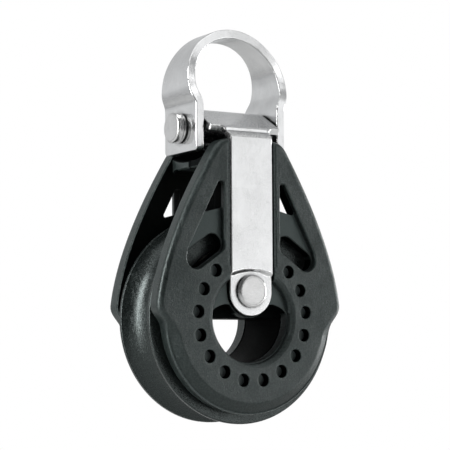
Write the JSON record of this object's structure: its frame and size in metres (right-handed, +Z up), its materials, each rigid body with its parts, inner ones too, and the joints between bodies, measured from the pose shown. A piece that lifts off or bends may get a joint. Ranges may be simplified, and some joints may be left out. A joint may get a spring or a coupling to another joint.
{
  "type": "single sheave block",
  "caption": "Sheave block with teardrop cheeks, a ball-bearing sheave and a bow shackle on a removable pin. It hangs by the shackle and turns a rope's pull.",
  "frame": {"origin": "the bearing point inside the crown of the shackle's bow, in the block's middle plane", "axes": "+Z up along the pull, +Y along the sheave's axle towards the rear cheek, +X along the shackle pin away from its head"},
  "size_m": [0.0404, 0.0206, 0.076],
  "materials": {
    "cheek_nylon": "fine moulded texture",
    "sheave_nylon": "smooth moulded",
    "acetal": "polished",
    "strap_steel": "polished stainless",
    "shackle_steel": "polished stainless"
  },
  "bodies": {
    "shackle": {"shackle": "shackle_steel"},
    "pin": {"shackle_pin": "shackle_steel"},
    "block_frame": {"front_cheek": "cheek_nylon", "rear_cheek": "cheek_nylon", "inner_race": "cheek_nylon", "head_strap": "strap_steel", "rivet": "strap_steel", "rivet_collar": "strap_steel"},
    "sheave": {"sheave": "sheave_nylon"},
    "ball_rows": {"ball_front_01": "acetal", "ball_front_02": "acetal", "ball_front_03": "acetal", "ball_front_04": "acetal", "ball_front_05": "acetal", "ball_front_06": "acetal", "ball_front_07": "acetal", "ball_front_08": "acetal", "ball_front_09": "acetal", "ball_front_10": "acetal", "ball_front_11": "acetal", "ball_front_12": "acetal", "ball_front_13": "acetal", "ball_front_14": "acetal", "ball_front_15": "acetal", "ball_front_16": "acetal", "ball_front_17": "acetal", "ball_rear_01": "acetal", "ball_rear_02": "acetal", "ball_rear_03": "acetal", "ball_rear_04": "acetal", "ball_rear_05": "acetal", "ball_rear_06": "acetal", "ball_rear_07": "acetal", "ball_rear_08": "acetal", "ball_rear_09": "acetal", "ball_rear_10": "acetal", "ball_rear_11": "acetal", "ball_rear_12": "acetal", "ball_rear_13": "acetal", "ball_rear_14": "acetal", "ball_rear_15": "acetal", "ball_rear_16": "acetal", "ball_rear_17": "acetal"}
  },
  "joints": [
    {"name": "block_swing", "type": "hinge", "parent": "shackle", "child": "block_frame", "pos_m": [0, 0, -0.0179], "axis": [1, 0, 0], "range_deg": [-85, 85]},
    {"name": "pin_withdrawal", "type": "slide", "parent": "shackle", "child": "pin", "axis": [-1, 0, 0], "range_m": [0, 0.022]},
    {"name": "sheave_spin", "type": "hinge", "parent": "block_frame", "child": "sheave", "pos_m": [0, 0, -0.0543], "axis": [0, 1, 0], "continuous": true},
    {"name": "ball_rows_spin", "type": "hinge", "parent": "block_frame", "child": "ball_rows", "pos_m": [0, 0, -0.0543], "axis": [0, 1, 0], "continuous": true}
  ],
  "couplings": [
    {"joint": "ball_rows_spin", "follows": "sheave_spin", "ratio": 0.5685}
  ]
}
